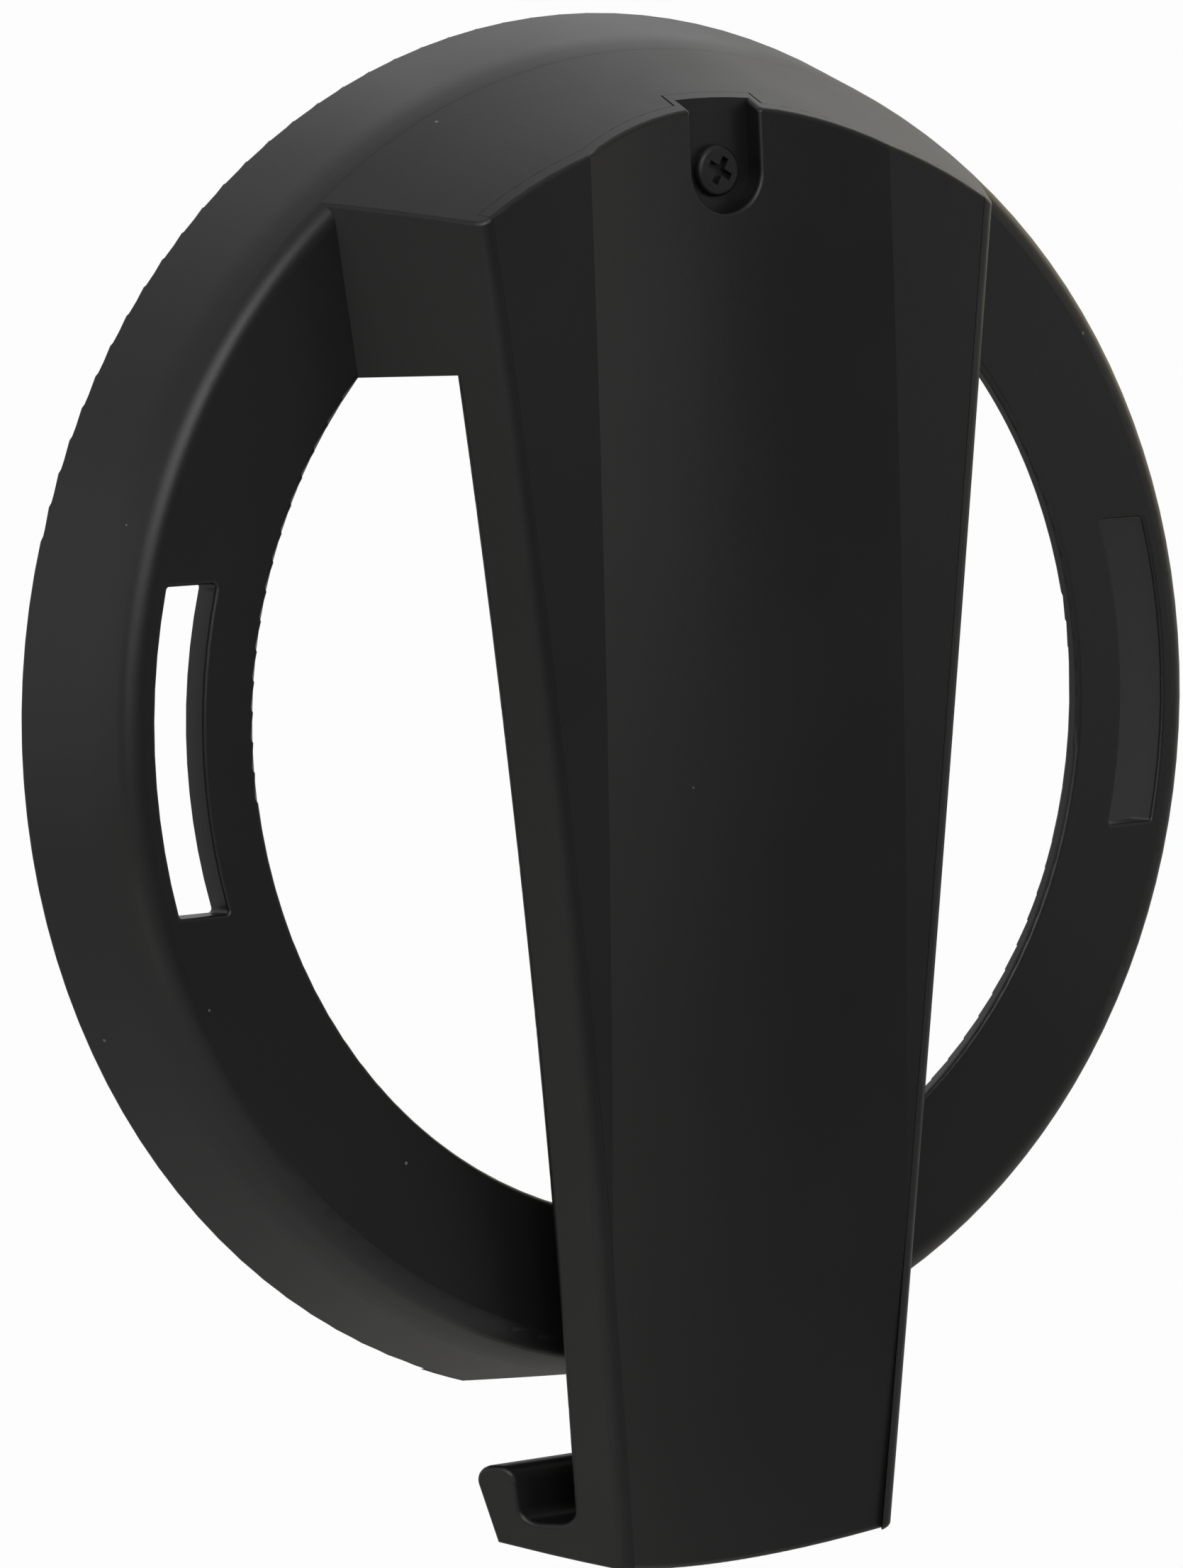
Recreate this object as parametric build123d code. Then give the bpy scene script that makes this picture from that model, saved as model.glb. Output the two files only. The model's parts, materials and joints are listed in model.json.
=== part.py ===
"""Line-hanger horn: ring base with a hooded arm, a screwed front cover and a retaining hook.

Frame: origin at the centre of the ring in the plane of the flange's front face.
X to the right, Y towards the wall, Z up.  Millimetres.
"""
import os
from math import asin, atan, atan2, cos, degrees, hypot, pi, sin, sqrt, tan

from build123d import *

# ---------------------------------------------------------------- ring base
rim_front_r = 100.0        # radius at which the outer wall would meet the flange's front face
rim_flare = 6.25           # radius gained from there to the wall
ring_depth = 19.2          # flange front face to the wall
flange_w = 22.4            # width of the ring's front face
flange_t = 2.75            # flange plate
wall_t = 2.75              # outer wall of the ring
rim_round = 4.0            # rounding of the front outer edge
shoulder_y = 5.0           # the outer wall turns to the hood's slope here ...
shoulder_round = 30.0      # ... with a wide rounding
hole_round = 0.8           # rounding of the open centre's edges
wall_foot_round = 0.5      # rounding of the edges that meet the wall
base_flat_drop = 1.4       # facet under the ring: its fall from the rim's front edge to the wall

# ---------------------------------------------------------------- strap slots
slot_rim_w = 5.2           # rim's front edge to the slot
slot_w = 8.3
slot_half_height = 24.2
slot_corner_r = 0.6
slot_round = 0.6           # rounding of the slots' front edges
slot_collar_t = 1.8        # collar wall round each slot
slot_collar_depth = 4.9    # flange front face to the collar's rear edge
slot_wall_depth = 12.2     # the same for the collar's outer side, which guides the strap

# ---------------------------------------------------------------- hood and horn
hood_slope = 0.515         # radius lost per millimetre forwards on the hood's top
hood_sink = 0.02           # hood's top below the ring's shoulder where they meet
hood_height = 47.0         # rim's front edge down to the hood's flat underside
side_half = 50.05          # half width of the side planes at the origin
side_taper = 0.132         # half width gained per millimetre upwards
side_flare = 0.625         # half width gained per millimetre towards the wall
horn_reach = 30.6          # rim's front edge to the bottom of the horn
foot_draft = 0.06          # radius that the foot loses per millimetre towards the wall
horn_depth = 7.2           # front face to rear face
front_y = -19.97           # foremost line of the horn's front face ...
front_z = 63.0             # ... and its height
front_radius = 2520.0      # lengthwise curve of the front face
shell_t = 2.5              # hood walls
web_t = 2.2                # floor of the channel under the cover
front_round = 2.8          # long front edges
edge_round = 0.8           # edges of the hood's top
soft_round = 0.8           # small edges

# ---------------------------------------------------------------- hook
hook_floor_t = 10.0        # bottom of the horn to the trough's floor
hook_lip_h = 18.6          # bottom of the horn to the top of the lip
hook_lip_y = 7.2           # rearmost point of the lip
hook_lip_t = 6.2           # lip thickness near its top
hook_lip_root_t = 2.9      # lip thickness at the trough's floor
hook_lean = 3.2            # how far the lip leans back over its height
trough_round = 2.2         # inner corners of the trough
lip_round = 2.5            # top edges of the lip

# ---------------------------------------------------------------- front cover
cover_t = 1.9
lip_t = 1.45               # body lip beside the cover, as wide as its rounding
reveal = 0.06              # seam between lip and cover
ledge_w = 1.8              # land that carries the cover's edge
seat_gap = 0.05            # cover to its ledge
flute_gap = 0.2            # cover to the channel behind the flute
ridge_half = 27.85         # half distance between the two ridges
flute_depth = 4.0
cover_end_round = 0.8      # cover's top and foot edges

# ---------------------------------------------------------------- screw pocket
pocket_half = 6.4
pocket_floor_y = -12.8     # floor of the pocket
pocket_wall_t = 1.6
pocket_rim_round = 0.65
pocket_fit = 0.3           # pocket to the well in the body
screw_drop = 18.5          # rim's front edge down to the screw

# ---------------------------------------------------------------- cover screw and insert
screw_d = 4.0
screw_head_d = 7.8
screw_head_h = 1.5
screw_length = 10.0
screw_pitch = 0.7
screw_head_round = 1.0
screw_neck = 1.0           # plain shank under the head
screw_thread_h = 0.35      # thread depth
screw_tip_h = 0.6          # chamfered tip
screw_clear_d = 4.5
screw_turn = 30.0          # angle at which the recess stands
recess_across = 4.4        # cross recess
recess_width = 1.15
recess_depth = 1.1
insert_d = 5.6
insert_length = 7.0
insert_fit = 0.05          # screw to the insert's bore, on the radius
insert_groove_w = 1.0      # anchoring groove round the insert
insert_groove_h = 0.4
insert_boss_d = 10.0
tip_fit = 0.2              # bore round the screw's tip, on the radius
tip_gap = 0.3              # bore beyond the screw's tip
boss_end_t = 1.5           # boss beyond that bore

# ---------------------------------------------------------------- fixing bosses
fixing_x = 30.0
fixing_drop = 30.0         # rim's front edge down to the fixing screws
fixing_hole_d = 5.2
fixing_head_d = 11.0       # clearance for the fixing screw's head
fixing_seat_y = 4.0        # where the head bears
fixing_boss_d = 15.0
boss_web_gap = 1.0         # boss's web to the wall
sleeve_d = 8.0

# ---------------------------------------------------------------- ribs and pegs
rib_t = 1.8
hood_rib_x = 16.0
gusset_foot_w = 13.0       # rim's front edge to the inner end of a gusset
gusset_depth = 11.0
gusset_tip_w = 7.0         # width of a gusset at its rear end
gusset_angles = (30, 150, 210, 235, 260, 280, 305, 330)
peg_d = 3.0                # locating pegs of the cover
peg_fit = 0.1
peg_root = 2.4             # length of a peg, with its root inside the cover
peg_gap = 0.3              # peg's end to the horn's rear face
peg_upper_drop = 45.0      # ring's axis down to the upper peg
peg_foot_h = 25.6          # bottom of the horn up to the lower peg
foot_wall_t = 3.0          # below the channel

big = 400.0                # longer than the part, for cutting bodies
far = 3 * ring_depth       # deeper than the part
touch = 0.05               # how near a point counts as on a surface
near = 0.3                 # the same where rounding leaves a gap

rim_back_r = rim_front_r + rim_flare
hole_r = rim_front_r - flange_w
slot_outer_r = rim_front_r - slot_rim_w
slot_inner_r = slot_outer_r - slot_w
gusset_foot_r = rim_front_r - gusset_foot_w
hood_underside = rim_front_r - hood_height
horn_foot_r = rim_front_r + horn_reach
hook_floor_z = hook_floor_t - horn_foot_r
hook_lip_z = hook_lip_h - horn_foot_r
screw_z = rim_front_r - screw_drop
fixing_z = rim_front_r - fixing_drop
peg_heights = (-peg_upper_drop, peg_foot_h - horn_foot_r)
cone_angle = atan(rim_flare / ring_depth)
hood_lean = atan(hood_slope)
blend_y = rim_round * (1 - sin(hood_lean))
rim_corner_r = rim_front_r - (hood_slope - tan(cone_angle)) * shoulder_y
side_norm = hypot(1, side_flare, side_taper)
well_floor_y = pocket_floor_y + pocket_wall_t + seat_gap
front_axis = Axis((0, front_y + front_radius, front_z), (1, 0, 0))


def above(height):
    return Pos(0, 0, height + big / 2) * Box(big, big, big)


def below(height):
    return Pos(0, 0, height - big / 2) * Box(big, big, big)


def xz_prism(sketch, y0, y1):
    """Extrude a sketch drawn as (X, Z) from y0 to y1."""
    face = Plane((0, y0, 0), x_dir=(1, 0, 0), z_dir=(0, -1, 0)) * sketch
    return extrude(face, amount=-(y1 - y0))


def about_y(points):
    """Solid of revolution about the ring's axis from (radius, y) points."""
    return revolve(Polygon(*points, align=None), Axis.Y)


def side_wedge(inset=0.0):
    """Space between the two flared, tapered side planes, moved inwards by inset."""
    halves = []
    for hand in (1, -1):
        side = Plane((hand * side_half, 0, 0), z_dir=(hand, -side_flare, -side_taper))
        halves.append(side * below(-inset))
    return halves[0] & halves[1]


def front_sweep(section):
    """Sweep a section drawn as (X, depth behind the front face) along the front's curve."""
    reach = 1.2 * horn_foot_r
    up = degrees(asin((reach - front_z) / front_radius))
    down = degrees(asin((reach + front_z) / front_radius))
    face = Plane((0, front_y, front_z)) * section
    return revolve(face.rotate(front_axis, -up), front_axis, up + down)


def slab(depth0, depth1):
    """Layer that follows the front face between two depths."""
    wide = 2 * side_half
    return front_sweep(Polygon((-wide, depth0), (wide, depth0), (wide, depth1), (-wide, depth1), align=None))


def hood_radius(y):
    """Radius of the hood's top at a given y: it carries the ring's shoulder on forwards."""
    return rim_corner_r - hood_sink + hood_slope * y


def hood_cone(inset=0.0, y_end=blend_y):
    """Solid cone under the hood's top surface, from in front of the horn to y_end."""
    drop = inset / cos(hood_lean)
    return about_y([(0, -far), (hood_radius(-far) - drop, -far), (hood_radius(y_end) - drop, y_end), (0, y_end)])


def foot_radius(y):
    """Radius of the horn's foot at a given y."""
    return horn_foot_r - foot_draft * (y - front_y)


def foot_space(inset=0.0):
    """Space inside the arc that ends the horn's foot, up to the hood."""
    ahead, behind = foot_radius(-far) - inset, foot_radius(far) - inset
    return about_y([(0, -far), (ahead, -far), (behind, far), (0, far)]) & below(hood_underside / 2)


def slot_outline(grow=0.0):
    """Right-hand strap slot as (X, Z), grown outwards by grow."""
    r0, r1, h = slot_inner_r - grow, slot_outer_r + grow, slot_half_height + grow
    outline = (Circle(r1) - Circle(r0)) & (Pos(r1 / 2, 0) * Rectangle(r1, 2 * h))
    return fillet(outline.vertices(), slot_corner_r + grow)


def pocket_outline(half):
    """U-shaped pocket as (X, Z), open upwards."""
    return Pos(0, screw_z) * Circle(half) + Pos(0, screw_z + rim_back_r / 2) * Rectangle(2 * half, rim_back_r)


def ring_base():
    slope = tan(cone_angle)
    inner_drop = wall_t / cos(cone_angle)
    outline = Polygon(
        (hole_r, 0), (rim_corner_r, 0), (rim_front_r + slope * shoulder_y, shoulder_y), (rim_back_r, ring_depth),
        (rim_back_r - inner_drop, ring_depth),
        (rim_front_r + slope * flange_t - inner_drop, flange_t), (hole_r, flange_t), align=None)
    outline = fillet(outline.vertices().filter_by(lambda v: abs(v.Y - shoulder_y) < touch), shoulder_round)
    corner = outline.vertices().sort_by(lambda v: hypot(v.X - rim_corner_r, v.Y))[0]
    outline = fillet(corner, rim_round)
    holes = outline.vertices().filter_by(lambda v: abs(v.X - hole_r) < touch)
    outline = fillet(holes, hole_round)
    feet = outline.vertices().filter_by(lambda v: abs(v.Y - ring_depth) < touch)
    outline = fillet(feet, wall_foot_round)
    return revolve(outline, Axis.Y)


def base_facet(part, depth=0.0):
    """Place a part drawn on XY on the facet under the ring, moved up by depth."""
    return Plane((0, 0, -rim_front_r), z_dir=(0, base_flat_drop, ring_depth)) * Pos(0, 0, depth) * part


def base_web():
    """Web that closes the ring behind the facet."""
    space = about_y([(0, rim_round), (rim_front_r, rim_round), (rim_back_r, ring_depth), (0, ring_depth)])
    return space & base_facet(Box(big, big, wall_t), wall_t / 2)


def slot_collar():
    """Right-hand slot's collar: low round the slot, deep on its outer side."""
    low = xz_prism(slot_outline(slot_collar_t), flange_t / 2, slot_collar_depth)
    deep = xz_prism(slot_outline(slot_collar_t) - Circle(slot_outer_r), flange_t / 2, slot_wall_depth)
    return low + deep


def hook_solid():
    """Trough and lip behind the foot of the horn, before the ends are trimmed."""
    top, back = hook_lip_z, hook_lip_y
    root = back - hook_lean
    inside_horn = front_y + horn_depth
    outline = Polygon(
        (inside_horn, -horn_foot_r), (root, -horn_foot_r), (back, top), (back - hook_lip_t, top),
        (root - hook_lip_root_t, hook_floor_z), (inside_horn, hook_floor_z), align=None)

    def corner(y, z):
        return outline.vertices().sort_by(lambda v: hypot(v.X - y, v.Y - z))[0]

    outline = fillet(corner(root - hook_lip_root_t, hook_floor_z), trough_round)
    outline = fillet(corner(back, top), lip_round)
    outline = fillet(corner(back - hook_lip_t, top), lip_round)
    return extrude(Plane.YZ * outline, amount=rim_front_r, both=True)


def near_edges(part, test):
    """Edges whose middle point passes the test."""
    return part.edges().filter_by(lambda e: test(e.position_at(0.5)))


def side_gap(p):
    """Distance from a point to the nearer side plane."""
    return (side_half + side_taper * p.Z + side_flare * p.Y - abs(p.X)) / side_norm


def front_gap(p):
    """Depth of a point behind the horn's front face."""
    return front_radius - hypot(p.Y - front_y - front_radius, p.Z - front_z)


def on_cone(p):
    return p.Z > hood_underside and abs(hypot(p.X, p.Z) - hood_radius(p.Y)) < near


def y_cylinder(diameter, y0, y1, x=0.0, z=0.0):
    """Cylinder along Y from y0 to y1."""
    return xz_prism(Pos(x, z) * Circle(diameter / 2), y0, y1)


def arm_blank():
    """Space between the side planes behind the front face, with its long front edges rounded."""
    blank = slab(0, far) & side_wedge()
    edges = near_edges(blank, lambda p: abs(side_gap(p)) < touch and abs(front_gap(p)) < touch)
    return fillet(edges, front_round)


def arm_outside():
    """Hood, horn and hook as one solid before it is hollowed."""
    horn = (slab(0, horn_depth) + hook_solid()) & (hood_cone() + foot_space())
    hood = hood_cone() & above(hood_underside)
    arm = (horn + hood) & arm_blank()
    floor = near_edges(arm, lambda p: abs(p.Z - hook_floor_z) < touch and p.Y < -soft_round and side_gap(p) > near)
    arm = fillet(floor, trough_round)
    rear = near_edges(arm, lambda p: abs(side_gap(p)) < touch and p.Z < hood_underside - near)
    arm = fillet(rear.filter_by(lambda e: front_gap(e.position_at(0.5)) > horn_depth / 2), soft_round)
    top = near_edges(arm, lambda p: abs(side_gap(p)) < near and on_cone(p) and front_gap(p) > near)
    return fillet(top, edge_round)


def fluted_air(flat, deep):
    """Everything in front of a surface with flat flanks and an arched flute between the ridges."""
    wide = 2 * side_half
    fore = -horn_depth
    outline = [
        Line((-wide, fore), (-wide, flat)),
        Line((-wide, flat), (-ridge_half, flat)),
        ThreePointArc((-ridge_half, flat), (0, deep), (ridge_half, flat)),
        Line((ridge_half, flat), (wide, flat)),
        Line((wide, flat), (wide, fore)),
        Line((wide, fore), (-wide, fore)),
    ]
    return front_sweep(make_face(outline))


def cover_front():
    return fluted_air(0, flute_depth)


def cover_middle():
    return fluted_air(cover_t / 2, flute_depth + cover_t / 2)


def cover_back(gap=0.0):
    return fluted_air(cover_t + gap, flute_depth + cover_t + gap)


def hood_hollow():
    """Hollow of the hood, open towards the wall."""
    space = hood_cone(shell_t, 1.2 * flange_t) & side_wedge(shell_t) & above(hood_underside + shell_t)
    space = space & slab(horn_depth, far)
    ribs = Pos(hood_rib_x, 0, 0) * Box(rib_t, big, big) + Pos(-hood_rib_x, 0, 0) * Box(rib_t, big, big)
    return space - ribs


def channel_space():
    """Space inside the channel's end walls: the hood's top skin and the foot wall."""
    return hood_cone(shell_t) + foot_space(foot_wall_t)


def gussets():
    """Stiffening webs between the ring's flange and its outer wall."""
    outer = rim_front_r - wall_t / 2
    tip = outer + tan(cone_angle) * gusset_depth
    rear = flange_t + gusset_depth
    web = Polygon(
        (gusset_foot_r, flange_t / 2), (outer, flange_t / 2), (tip, rear), (tip - gusset_tip_w, rear), align=None)
    plate = extrude(web, amount=rib_t / 2, both=True)
    plates = [plate.rotate(Axis.Y, -angle) for angle in gusset_angles]
    return plates[0].fuse(*plates[1:])


def mirrored(part):
    return part + mirror(part, about=Plane.YZ)


def fixing_boss():
    """Right-hand boss that carries a wall screw, with its radial web."""
    boss = y_cylinder(fixing_boss_d, -horn_depth, ring_depth, fixing_x, fixing_z)
    reach = hypot(fixing_x, fixing_z)
    outer = rim_front_r - wall_t / 2
    web = Pos((reach + outer) / 2, 0) * Rectangle(outer - reach, rib_t)
    plate = xz_prism(web, flange_t / 2, ring_depth - boss_web_gap)
    return boss + plate.rotate(Axis.Y, -degrees(atan2(fixing_z, fixing_x)))


def fixing_hole():
    """Bores of the right-hand boss: head clearance, sleeve seat and screw hole."""
    head = y_cylinder(fixing_head_d, -far, fixing_seat_y, fixing_x, fixing_z)
    seat = y_cylinder(sleeve_d, fixing_seat_y, far, fixing_x, fixing_z)
    return head + seat


def slot_mouth(p):
    """True on the slots' edges in the flange's front face."""
    return abs(p.Y) < touch and slot_inner_r - touch < hypot(p.X, p.Z) < slot_outer_r + touch


def body_moulding():
    arm = arm_outside() - hood_hollow()
    arm = arm + mirrored(fixing_boss())
    well_half = pocket_half + pocket_wall_t + pocket_fit
    well = xz_prism(pocket_outline(well_half + web_t), pocket_floor_y, well_floor_y + web_t)
    arm = arm + (well & hood_cone(shell_t / 2))
    tip_y = pocket_floor_y + screw_length + tip_gap
    arm = arm + y_cylinder(insert_boss_d, well_floor_y + web_t / 2, tip_y + boss_end_t, 0, screw_z)
    inner = side_wedge(lip_t + reveal + ledge_w) & channel_space()
    arm = arm - (slab(-horn_depth, horn_depth - web_t) & inner)
    arm = arm - (cover_back(flute_gap) & inner)
    arm = arm - (cover_back(seat_gap) & side_wedge(lip_t))
    arm = arm - xz_prism(pocket_outline(well_half), -far, well_floor_y)
    arm = arm - mirrored(fixing_hole())
    arm = arm - y_cylinder(insert_d, -far, well_floor_y + insert_length, 0, screw_z)
    arm = arm - y_cylinder(screw_d + 2 * tip_fit, -far, tip_y, 0, screw_z)
    for z in peg_heights:
        arm = arm - y_cylinder(peg_d + peg_fit, -far, 0, 0, z)
    ring = ring_base() + mirrored(slot_collar()) + gussets() + base_web()
    ring = ring - mirrored(xz_prism(slot_outline(), -far, far))
    ring = fillet(near_edges(ring, slot_mouth), slot_round)
    ring = ring - base_facet(below(0))
    ring = ring - hood_hollow()
    return ring + arm


def peg_floor(z):
    """Y of the peg's end at a given height, just short of the horn's rear face."""
    front = front_y + front_radius - sqrt(front_radius ** 2 - (z - front_z) ** 2)
    return front + horn_depth - peg_gap


def cover_edge(p):
    """True on the edge of the front face that the hood's cone or the foot's arc makes."""
    across = min(abs(p.X), ridge_half) / ridge_half
    depth = flute_depth * (1 - across ** 2)
    foot = p.Z < 0 and abs(hypot(p.X, p.Z) - foot_radius(p.Y)) < near
    return (on_cone(p) or foot) and abs(front_gap(p) - depth) < near


def pocket_rim(p):
    """True on the edge where the pocket breaks through the front face."""
    across = abs(p.X) if p.Z > screw_z else hypot(p.X, p.Z - screw_z)
    depth = flute_depth * (1 - (p.X / ridge_half) ** 2)
    return abs(across - pocket_half) < touch and abs(front_gap(p) - depth) < near


def horn_cover():
    plate = (cover_back() - cover_front()) & (hood_cone() + foot_space()) & side_wedge(lip_t + reveal)
    plate = fillet(near_edges(plate, cover_edge), cover_end_round)
    dish = xz_prism(pocket_outline(pocket_half + pocket_wall_t), front_y, pocket_floor_y + pocket_wall_t)
    plate = plate + ((dish & hood_cone()) - cover_middle())
    plate = plate - xz_prism(pocket_outline(pocket_half), -big / 2, pocket_floor_y)
    plate = fillet(near_edges(plate, pocket_rim), pocket_rim_round)
    plate = plate - y_cylinder(screw_clear_d, -big / 2, 0, 0, screw_z)
    for z in peg_heights:
        plate = plate + y_cylinder(peg_d, peg_floor(z) - peg_root, peg_floor(z), 0, z)
    return plate


def cover_screw():
    head_y = pocket_floor_y - screw_head_h
    tip_y = pocket_floor_y + screw_length
    r = screw_d / 2
    core = r - screw_thread_h
    head = Polygon(
        (0, head_y), (screw_head_d / 2, head_y), (screw_head_d / 2, pocket_floor_y), (0, pocket_floor_y), align=None)
    corner = head.vertices().sort_by(lambda v: hypot(v.X - screw_head_d / 2, v.Y - head_y))[0]
    head = fillet(corner, screw_head_round)
    outline = [(0, pocket_floor_y - screw_head_h / 2), (r, pocket_floor_y - screw_head_h / 2)]
    y = pocket_floor_y + screw_neck
    while y < tip_y - screw_tip_h:
        outline += [(r, y), (core, min(y + screw_pitch / 2, tip_y - screw_tip_h))]
        y += screw_pitch
    outline += [(core, tip_y - screw_tip_h), (core - screw_tip_h, tip_y), (0, tip_y)]
    screw = Pos(0, 0, screw_z) * (revolve(head, Axis.Y) + about_y(outline))
    bar = Box(recess_across, recess_depth, recess_width) + Box(recess_width, recess_depth, recess_across)
    return screw - Pos(0, head_y + recess_depth / 2, screw_z) * bar.rotate(Axis.Y, screw_turn)


def cover_insert():
    y0, y1 = well_floor_y, well_floor_y + insert_length
    r = insert_d / 2
    bore = screw_d / 2 + insert_fit
    groove = (y0 + y1 - insert_groove_w) / 2
    outline = [
        (bore, y0), (r, y0), (r, groove - insert_groove_h), (r - insert_groove_h, groove),
        (r - insert_groove_h, groove + insert_groove_w), (r, groove + insert_groove_w + insert_groove_h),
        (r, y1), (bore, y1)]
    return Pos(0, 0, screw_z) * about_y(outline)


def fixing_sleeve(hand):
    tube = y_cylinder(sleeve_d, fixing_seat_y, ring_depth, hand * fixing_x, fixing_z)
    return tube - y_cylinder(fixing_hole_d, -far, far, hand * fixing_x, fixing_z)


if __name__ == "__main__":
    os.makedirs("parts", exist_ok=True)
    export_step(body_moulding(), "parts/body_moulding.step")
    export_step(horn_cover(), "parts/horn_cover.step")
    export_step(cover_screw(), "parts/cover_screw.step")
    export_step(cover_insert(), "parts/cover_insert.step")
    export_step(fixing_sleeve(-1), "parts/fixing_sleeve_left.step")
    export_step(fixing_sleeve(1), "parts/fixing_sleeve_right.step")
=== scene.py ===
"""Cleat horn: finishes, stage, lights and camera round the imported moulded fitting."""
import json
import logging
import math
from dataclasses import dataclass, field
from enum import Enum

import bmesh
import bpy
from mathutils import Matrix, Vector

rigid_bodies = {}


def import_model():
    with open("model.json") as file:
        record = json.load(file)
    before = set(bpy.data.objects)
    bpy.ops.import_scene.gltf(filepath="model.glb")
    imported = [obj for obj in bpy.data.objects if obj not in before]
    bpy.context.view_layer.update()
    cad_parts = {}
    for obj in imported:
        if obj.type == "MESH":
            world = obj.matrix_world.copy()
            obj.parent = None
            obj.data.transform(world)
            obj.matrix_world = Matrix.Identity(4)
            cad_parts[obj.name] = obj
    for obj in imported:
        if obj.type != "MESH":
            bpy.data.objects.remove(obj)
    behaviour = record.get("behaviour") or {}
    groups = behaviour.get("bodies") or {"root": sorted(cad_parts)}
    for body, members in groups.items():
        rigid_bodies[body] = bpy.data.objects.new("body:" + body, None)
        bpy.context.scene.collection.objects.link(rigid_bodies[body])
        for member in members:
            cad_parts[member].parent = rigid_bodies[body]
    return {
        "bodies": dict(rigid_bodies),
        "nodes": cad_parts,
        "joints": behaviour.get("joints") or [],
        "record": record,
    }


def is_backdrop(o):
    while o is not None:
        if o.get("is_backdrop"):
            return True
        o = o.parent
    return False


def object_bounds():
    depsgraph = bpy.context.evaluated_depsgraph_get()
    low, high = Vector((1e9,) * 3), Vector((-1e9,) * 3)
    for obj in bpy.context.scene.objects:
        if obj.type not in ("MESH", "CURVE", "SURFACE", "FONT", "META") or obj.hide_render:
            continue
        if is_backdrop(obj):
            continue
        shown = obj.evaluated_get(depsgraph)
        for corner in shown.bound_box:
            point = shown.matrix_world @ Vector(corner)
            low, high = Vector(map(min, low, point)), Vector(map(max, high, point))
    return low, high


LOG = logging.getLogger("cleat_horn")
MM = 0.001

Socket = bpy.types.NodeSocket
Colour = tuple[float, float, float]
Rgba = tuple[float, float, float, float]
Span = tuple[float, float]
Source = Socket | float | Rgba | Vector

WHITE: Colour = (1.0, 1.0, 1.0)
WHOLE: Span = (0.0, 1.0)
NOISE_SPAN: Span = (0.3, 0.7)  # holds nearly all of a noise


def rgba(colour: Colour) -> Rgba:
    """Returns the colour with a full alpha."""
    return (*colour, 1.0)


# ------------------------------------------------------------------ wiring of node trees


class Operation(Enum):
    """What a Math node does with two numbers."""

    MULTIPLY = "MULTIPLY"
    LESS_THAN = "LESS_THAN"
    MAXIMUM = "MAXIMUM"


class Blend(Enum):
    """Kinds of Mix node, each with the places of its two inputs and of its result."""

    NUMBER = ("FLOAT", 2, 3, 0)
    COLOUR = ("RGBA", 6, 7, 2)


class Wiring:
    """Adds nodes to a node tree and joins them."""

    def __init__(self, tree: bpy.types.NodeTree) -> None:
        """Takes a tree.

        Args:
            tree: node tree that gets the nodes.
        """
        self.tree = tree

    def node(self, kind: str, **settings: object) -> bpy.types.Node:
        """Adds a node.

        Args:
            kind: Blender's name of the node type.
            **settings: properties set on the node.

        Returns:
            The new node.
        """
        made = self.tree.nodes.new(kind)
        for key, value in settings.items():
            setattr(made, key, value)
        return made

    def feed(self, source: Source, target: Socket) -> None:
        """Gives an input its value.

        Args:
            source: a socket, which is linked, or a number, colour or vector, which is set.
            target: the input.
        """
        if isinstance(source, Socket):
            self.tree.links.new(source, target)
        else:
            target.default_value = source

    def calculate(self, operation: Operation, first: Source, second: Source) -> Socket:
        """Adds a Math node.

        Args:
            operation: what it does.
            first: a socket or a number.
            second: a socket or a number.

        Returns:
            The result.
        """
        made = self.node("ShaderNodeMath", operation=operation.value)
        self.feed(first, made.inputs[0])
        self.feed(second, made.inputs[1])
        return made.outputs[0]

    def remap(self, source: Socket, span: Span, result: Span) -> Socket:
        """Maps a number from one range to another.

        Args:
            source: the number.
            span: range that it comes from.
            result: range that it goes to, and doesn't leave.

        Returns:
            The mapped number.
        """
        made = self.node("ShaderNodeMapRange")
        for name, value in zip(("From Min", "From Max", "To Min", "To Max"), span + result):
            self.feed(value, made.inputs[name])
        self.feed(source, made.inputs["Value"])
        return made.outputs["Result"]

    def blend(self, kind: Blend, share: Socket, first: Source, second: Source) -> Socket:
        """Mixes two numbers or two colours.

        Args:
            kind: which of them it mixes.
            share: weight of the second, from 0 to 1.
            first: a socket, a number or a colour.
            second: the same.

        Returns:
            The mix.
        """
        data_type, first_place, second_place, result_place = kind.value
        made = self.node("ShaderNodeMix", data_type=data_type)
        self.feed(share, made.inputs["Factor"])
        self.feed(first, made.inputs[first_place])
        self.feed(second, made.inputs[second_place])
        return made.outputs[result_place]


# ------------------------------------------------------------------ shader groups


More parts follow.
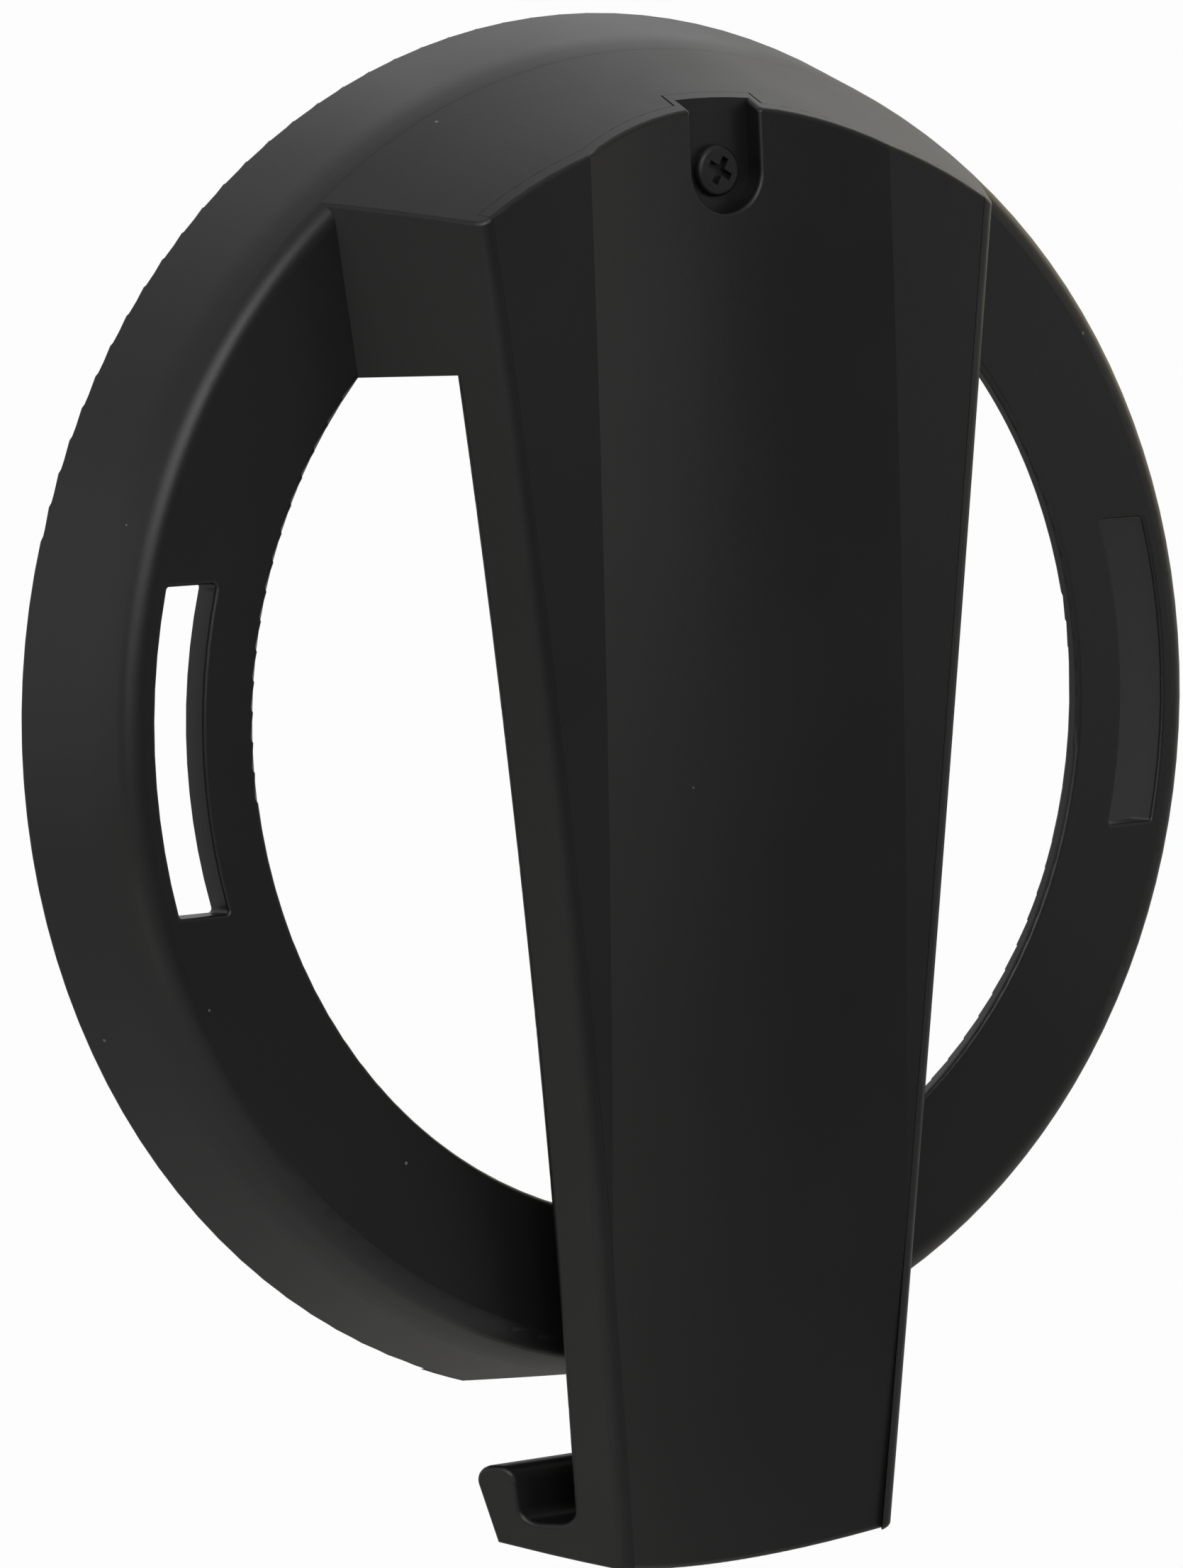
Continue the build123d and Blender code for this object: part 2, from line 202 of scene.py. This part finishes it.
class ShaderGroup(Wiring):
    """Base of the node groups that more than one material uses: numbers in, one number out."""

    title: str
    takes: tuple[str, ...]
    gives: str

    def __init__(self) -> None:
        """Builds the group from what its class states."""
        super().__init__(bpy.data.node_groups.new(self.title, "ShaderNodeTree"))
        for name in self.takes:
            self.tree.interface.new_socket(name, in_out="INPUT", socket_type="NodeSocketFloat")
        self.tree.interface.new_socket(self.gives, in_out="OUTPUT", socket_type="NodeSocketFloat")
        self.taken = self.node("NodeGroupInput").outputs
        self.feed(self.result(), self.node("NodeGroupOutput").inputs[self.gives])

    def result(self) -> Socket:
        """Returns what the group puts out; each group has its own."""
        raise NotImplementedError(self.title)

    def position(self) -> Socket:
        """Returns the Object coordinates."""
        return self.node("ShaderNodeTexCoord").outputs["Object"]

    def noise(self, scale: Socket, octaves: float, roughness: float = 0.5) -> Socket:
        """Adds a noise on Object coordinates.

        Args:
            scale: waves per metre.
            octaves: how many finer layers it has.
            roughness: weight of the finer layers.

        Returns:
            The noise, from 0 to 1.
        """
        made = self.node("ShaderNodeTexNoise")
        self.feed(self.position(), made.inputs["Vector"])
        self.feed(scale, made.inputs["Scale"])
        self.feed(octaves, made.inputs["Detail"])
        self.feed(roughness, made.inputs["Roughness"])
        return made.outputs["Fac"]


class MouldGrain(ShaderGroup):
    """Spark-eroded grain of a mould: a fine pitted height with a coarser one in it."""

    title = "Mould grain"
    takes = ("Grains per metre", "Coarse share")
    gives = "Height"
    coarse_per_fine = 0.33

    def result(self) -> Socket:
        """Mixes the two grains.

        Returns:
            The height, from 0 to 1.
        """
        grains = self.taken["Grains per metre"]
        fine = self.noise(grains, octaves=2.0, roughness=0.6)
        coarse_grains = self.calculate(Operation.MULTIPLY, grains, self.coarse_per_fine)
        coarse = self.noise(coarse_grains, octaves=1.0)
        return self.blend(Blend.NUMBER, self.taken["Coarse share"], fine, coarse)


class ToneDrift(ShaderGroup):
    """Slow change of tone over a piece, where it cooled and where it was handled."""

    title = "Tone drift"
    takes = ("Patches per metre",)
    gives = "Drift"

    def result(self) -> Socket:
        """Returns the drift, mostly within NOISE_SPAN."""
        return self.noise(self.taken["Patches per metre"], octaves=3.0, roughness=0.55)


class DustSpecks(ShaderGroup):
    """Sparse specks of dust: small balls scattered through space, cut by the surface."""

    title = "Dust specks"
    takes = ("Specks per metre", "Radius per spacing")
    gives = "Mask"

    def result(self) -> Socket:
        """Sets a speck in each cell of space.

        Returns:
            1 within a speck and 0 elsewhere.
        """
        cells = self.node("ShaderNodeTexVoronoi")
        self.feed(self.position(), cells.inputs["Vector"])
        self.feed(self.taken["Specks per metre"], cells.inputs["Scale"])
        radius = self.taken["Radius per spacing"]
        return self.calculate(Operation.LESS_THAN, cells.outputs["Distance"], radius)


@dataclass
class GroupShelf:
    """The node groups, each built once."""

    grain: MouldGrain = field(default_factory=MouldGrain)
    drift: ToneDrift = field(default_factory=ToneDrift)
    dust: DustSpecks = field(default_factory=DustSpecks)


# ------------------------------------------------------------------ finishes


class MaterialBench(Wiring):
    """Builds one material: a Principled shader and what feeds it."""

    def __init__(self, name: str) -> None:
        """Starts the material.

        Args:
            name: the material's name.
        """
        self.material = bpy.data.materials.new(name)
        self.material.use_nodes = True
        super().__init__(self.material.node_tree)
        self.shader = self.tree.nodes["Principled BSDF"]

    def shade(self, name: str, source: Source) -> None:
        """Feeds the shader.

        Args:
            name: label of the shader's input.
            source: a socket, a number or a colour.
        """
        self.feed(source, self.shader.inputs[name])

    def group(self, shelf_group: ShaderGroup, values: dict[str, float]) -> Socket:
        """Places a node group.

        Args:
            shelf_group: the group.
            values: values of its inputs, by label.

        Returns:
            What the group puts out.
        """
        made = self.node("ShaderNodeGroup", node_tree=shelf_group.tree)
        for name, value in values.items():
            self.feed(value, made.inputs[name])
        return made.outputs[shelf_group.gives]

    def relief(self, height: Socket, depth: float) -> None:
        """Feeds a height to the shader's normal.

        Args:
            height: from 0 to 1.
            depth: of the relief, in metres.
        """
        made = self.node("ShaderNodeBump")
        self.feed(depth, made.inputs["Distance"])
        self.feed(height, made.inputs["Height"])
        self.shade("Normal", made.outputs["Normal"])


@dataclass(frozen=True, kw_only=True)
class Finish:
    """Base of the finishes: a tone and a gloss that drift from fresh to worn, over a grain."""

    name: str
    fresh: Colour
    worn: Colour
    fresh_roughness: float
    worn_roughness: float
    patches_per_metre: float
    grains_per_metre: float
    grain_depth: float
    coarse_share: float = 0.35
    metallic: float = 0.0

    def build(self, shelf: GroupShelf) -> bpy.types.Material:
        """Builds the material.

        Args:
            shelf: the shared node groups.

        Returns:
            The material.
        """
        bench = MaterialBench(self.name)
        drift = bench.group(shelf.drift, {"Patches per metre": self.patches_per_metre})
        wear = bench.remap(drift, NOISE_SPAN, WHOLE)
        tone = bench.blend(Blend.COLOUR, wear, rgba(self.fresh), rgba(self.worn))
        roughness = bench.remap(drift, NOISE_SPAN, (self.fresh_roughness, self.worn_roughness))
        grain = {"Grains per metre": self.grains_per_metre, "Coarse share": self.coarse_share}
        bench.shade("Base Color", self.colour(bench, shelf, tone))
        bench.shade("Roughness", roughness)
        bench.shade("Metallic", self.metallic)
        bench.relief(bench.group(shelf.grain, grain), self.grain_depth)
        return bench.material

    def colour(self, bench: MaterialBench, shelf: GroupShelf, tone: Socket) -> Socket:
        """Gives the colour of the surface; a finish with something on it has its own.

        Args:
            bench: the material's bench.
            shelf: the shared node groups.
            tone: the drifting tone.

        Returns:
            The tone alone.
        """
        return tone


@dataclass(frozen=True, kw_only=True)
class MouldedPlastic(Finish):
    """Matt black plastic with the grain of its mould and a few specks of dust."""

    fresh: Colour = (0.0062, 0.0062, 0.0063)
    worn: Colour = (0.0080, 0.0079, 0.0077)
    fresh_roughness: float = 0.36
    worn_roughness: float = 0.44
    patches_per_metre: float = 22.0
    grains_per_metre: float = 2600.0
    grain_depth: float = 0.020 * MM
    dust: Colour = (0.20, 0.20, 0.19)
    specks_per_metre: float = 85.0
    radius_per_spacing: float = 0.022

    def colour(self, bench: MaterialBench, shelf: GroupShelf, tone: Socket) -> Socket:
        """Lays dust on the tone.

        Args:
            bench: the material's bench.
            shelf: the shared node groups.
            tone: the drifting tone.

        Returns:
            The dusty tone.
        """
        specks = {"Specks per metre": self.specks_per_metre, "Radius per spacing": self.radius_per_spacing}
        return bench.blend(Blend.COLOUR, bench.group(shelf.dust, specks), tone, rgba(self.dust))


@dataclass(frozen=True, kw_only=True)
class TurnedMetal(Finish):
    """Machined or coated metal with fine tool marks."""

    patches_per_metre: float = 350.0
    grains_per_metre: float = 5000.0
    grain_depth: float = 0.006 * MM


# ------------------------------------------------------------------ the fitting


@dataclass(frozen=True)
class DressedNode:
    """A CAD node that keeps its own mesh and gets its finish."""

    node: str
    finish: Finish

    def dress(self, frame: dict, shelf: GroupShelf) -> None:
        """Puts the finish on the node.

        Args:
            shelf: the shared node groups.
        """
        obj = frame["nodes"][self.node]
        obj.data.materials.clear()
        obj.data.materials.append(self.finish.build(shelf))
        LOG.info("%s: %d triangles, finish %s", self.node, len(obj.data.polygons), self.finish.name)


def fitting() -> list[DressedNode]:
    """Lists the fitting's pieces.

    Returns:
        The pieces with their finishes.
    """
    coated_steel = TurnedMetal(
        name="Black coated steel",
        fresh=(0.0065, 0.0065, 0.0065),
        worn=(0.010, 0.010, 0.010),
        fresh_roughness=0.42,
        worn_roughness=0.55,
    )
    brass = TurnedMetal(
        name="Turned brass",
        fresh=(0.72, 0.52, 0.24),
        worn=(0.60, 0.42, 0.18),
        fresh_roughness=0.22,
        worn_roughness=0.34,
        metallic=1.0,
    )
    steel = TurnedMetal(
        name="Turned steel",
        fresh=(0.62, 0.62, 0.63),
        worn=(0.50, 0.50, 0.51),
        fresh_roughness=0.25,
        worn_roughness=0.38,
        metallic=1.0,
    )
    return [
        DressedNode("body_moulding", MouldedPlastic(name="Black moulding")),
        DressedNode("horn_cover", MouldedPlastic(name="Black cover moulding")),
        DressedNode("cover_screw", coated_steel),
        DressedNode("cover_insert", brass),
        DressedNode("fixing_sleeve_left", steel),
        DressedNode("fixing_sleeve_right", steel),
    ]


# ------------------------------------------------------------------ stage, lights, camera


class RaySwitch(Wiring):
    """Picks a brightness by the kind of ray that meets the floor or the world."""

    def brightness(self, seen: float, mirrored: Source, cast: float) -> Socket:
        """Adds the switch.

        Args:
            seen: brightness to the camera.
            mirrored: brightness in reflections and through glass, a number or a socket.
            cast: brightness that lights the object.

        Returns:
            The picked brightness.
        """
        ray = self.node("ShaderNodeLightPath").outputs
        reflected = self.calculate(Operation.MAXIMUM, ray["Is Glossy Ray"], ray["Is Transmission Ray"])
        unseen = self.blend(Blend.NUMBER, reflected, cast, mirrored)
        return self.blend(Blend.NUMBER, ray["Is Camera Ray"], unseen, seen)


@dataclass(frozen=True)
class Stage:
    """Plain pale floor and white surroundings, whose reflections dim towards the room in front.

    The floor lies drop below the object. It glows with floor_glow to the camera and with floor_sheen in
    reflections. The surroundings are surround to the camera, run from dim to bright in reflections, brightest
    along bright_way, and light the object with fill.
    """

    drop: float = 0.45
    reach: float = 3.0
    floor_colour: Colour = (0.86, 0.86, 0.86)
    floor_roughness: float = 0.9
    floor_specular: float = 0.1
    floor_glow: float = 0.66
    floor_sheen: float = 0.22
    surround: float = 0.98
    fill: float = 0.03
    dim: float = 0.10
    bright: float = 0.61
    bright_way: tuple[float, float, float] = (0.0, 0.76, 0.65)

    def build(self, lowest: float) -> None:
        """Builds floor and surroundings.

        Args:
            lowest: height of the object's lowest point.
        """
        mesh = bpy.data.meshes.new("floor")
        shape = bmesh.new()
        bmesh.ops.create_grid(shape, x_segments=1, y_segments=1, size=self.reach / 2)
        bmesh.ops.translate(shape, verts=shape.verts, vec=(0.0, 0.0, lowest - self.drop))
        shape.to_mesh(mesh)
        shape.free()
        mesh.materials.append(self.floor_material())
        floor = bpy.data.objects.new("floor", mesh)
        bpy.context.scene.collection.objects.link(floor)
        floor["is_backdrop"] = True
        self.surroundings()

    def floor_material(self) -> bpy.types.Material:
        """Makes the floor pale, with a glow that only the camera and reflections see.

        Returns:
            The floor's material.
        """
        bench = MaterialBench("Pale floor")
        bench.shade("Base Color", rgba(self.floor_colour))
        bench.shade("Roughness", self.floor_roughness)
        bench.shade("Specular IOR Level", self.floor_specular)
        glow = bench.node("ShaderNodeEmission")
        switch = RaySwitch(bench.tree)
        strength = switch.brightness(seen=self.floor_glow, mirrored=self.floor_sheen, cast=0.0)
        bench.feed(strength, glow.inputs["Strength"])
        total = bench.node("ShaderNodeAddShader")
        bench.feed(bench.shader.outputs["BSDF"], total.inputs[0])
        bench.feed(glow.outputs["Emission"], total.inputs[1])
        bench.feed(total.outputs["Shader"], bench.tree.nodes["Material Output"].inputs["Surface"])
        return bench.material

    def surroundings(self) -> None:
        """Makes the world white to the camera, a studio to reflections, and a soft fill to the rest."""
        world = bpy.data.worlds.new("Studio")
        bpy.context.scene.world = world
        world.use_nodes = True
        switch = RaySwitch(world.node_tree)
        background = world.node_tree.nodes["Background"]
        walls = self.studio_walls(switch)
        strength = switch.brightness(seen=self.surround, mirrored=walls, cast=self.fill)
        switch.feed(rgba(WHITE), background.inputs["Color"])
        switch.feed(strength, background.inputs["Strength"])

    def studio_walls(self, wiring: Wiring) -> Socket:
        """Adds the brightness of the studio's walls.

        Args:
            wiring: the world's wiring.

        Returns:
            A number from dim, in front and below, to bright, behind and above.
        """
        along = wiring.node("ShaderNodeVectorMath", operation="DOT_PRODUCT")
        wiring.feed(wiring.node("ShaderNodeTexCoord").outputs["Generated"], along.inputs[0])
        wiring.feed(Vector(self.bright_way).normalized(), along.inputs[1])
        return wiring.remap(along.outputs["Value"], span=(-1.0, 1.0), result=(self.dim, self.bright))


def looking_at(aim: Vector, azimuth: float, elevation: float, distance: float, roll: float = 0.0) -> Matrix:
    """Works out the place of a lamp or camera that looks at a point.

    Args:
        aim: the point.
        azimuth: degrees round the point, 0 in front, 90 to the right.
        elevation: degrees above the point's level.
        distance: from the point.
        roll: degrees that the lamp or camera leans to its right.

    Returns:
        The place as a matrix.
    """
    a, e = math.radians(azimuth), math.radians(elevation)
    way = Vector((math.sin(a) * math.cos(e), -math.cos(a) * math.cos(e), math.sin(e)))
    lean = Matrix.Rotation(-math.radians(roll), 4, "Z")
    return Matrix.Translation(aim + way * distance) @ way.to_track_quat("Z", "Y").to_matrix().to_4x4() @ lean


@dataclass(frozen=True)
class SoftBox:
    """A square area lamp that looks at the object; angles in degrees, lengths in metres, power in watts."""

    name: str
    azimuth: float
    elevation: float
    distance: float
    size: float
    power: float
    colour: Colour = WHITE

    def build(self, aim: Vector) -> None:
        """Hangs the lamp.

        Args:
            aim: point that it looks at.
        """
        data = bpy.data.lights.new(self.name, "AREA")
        data.shape = "SQUARE"
        data.size = self.size
        data.energy = self.power
        data.color = self.colour
        lamp = bpy.data.objects.new(self.name, data)
        lamp.matrix_world = looking_at(aim, self.azimuth, self.elevation, self.distance)
        bpy.context.scene.collection.objects.link(lamp)


def studio() -> list[SoftBox]:
    """Lists the studio's lamps.

    Returns:
        The lamps: name, azimuth, elevation, distance, size, power and, where it isn't white, colour.
    """
    return [
        SoftBox("lamp_left", -48.0, 10.0, 1.6, 0.4, 1.1),
        SoftBox("lamp_window_right", -18.0, 36.0, 1.6, 0.5, 3.5),
        SoftBox("lamp_window_middle", -28.0, 24.0, 1.6, 0.5, 2.3),
        SoftBox("lamp_window_left", -42.0, 34.0, 1.6, 0.5, 2.3, (0.90, 0.90, 1.0)),
        SoftBox("lamp_window_far", -65.0, 30.0, 1.6, 0.5, 0.6),
        SoftBox("lamp_left_wall", -100.0, 12.0, 1.5, 1.0, 1.3),
        SoftBox("lamp_right_near", 52.0, 8.0, 0.50, 0.25, 0.07),
        SoftBox("lamp_right", 100.0, 20.0, 1.5, 1.0, 2.3, (1.0, 0.84, 0.45)),
        SoftBox("lamp_top_right", 135.0, 45.0, 1.6, 1.2, 2.4),
        SoftBox("lamp_top_back", 180.0, 55.0, 1.6, 1.2, 1.4, (0.95, 0.95, 1.0)),
        SoftBox("lamp_below", -75.0, -42.0, 1.3, 0.9, 7.2, (1.0, 0.98, 0.76)),
    ]


@dataclass(frozen=True)
class Viewpoint:
    """Camera at the chosen angle; angles in degrees, lens and sensor in millimetres."""

    azimuth: float = -35.59
    elevation: float = 4.69
    roll: float = 2.0
    distance: float = 1.2
    aim: tuple[float, float, float] = (-17.4 * MM, 0.0, -10.1 * MM)
    lens: float = 182.6
    sensor: float = 36.0
    nearest: float = 0.01

    def build(self) -> None:
        """Makes the camera the scene's own."""
        data = bpy.data.cameras.new("camera")
        data.lens = self.lens
        data.sensor_width = self.sensor
        data.clip_start = self.nearest
        camera = bpy.data.objects.new("camera", data)
        camera.matrix_world = looking_at(
            Vector(self.aim), self.azimuth, self.elevation, self.distance, self.roll
        )
        bpy.context.scene.collection.objects.link(camera)
        bpy.context.scene.camera = camera


# ------------------------------------------------------------------ the scene


def main() -> None:
    """Dresses the fitting and builds what stands round it."""
    logging.basicConfig(level=logging.INFO, format="%(message)s")
    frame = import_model()
    cad_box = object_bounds()
    shelf = GroupShelf()
    for piece in fitting():
        piece.dress(frame, shelf)
    centre = (cad_box[0] + cad_box[1]) / 2
    Stage().build(cad_box[0].z)
    for lamp in studio():
        lamp.build(centre)
    Viewpoint().build()
    bpy.context.scene.view_settings.view_transform = "Standard"


if __name__ == "__main__":
    main()
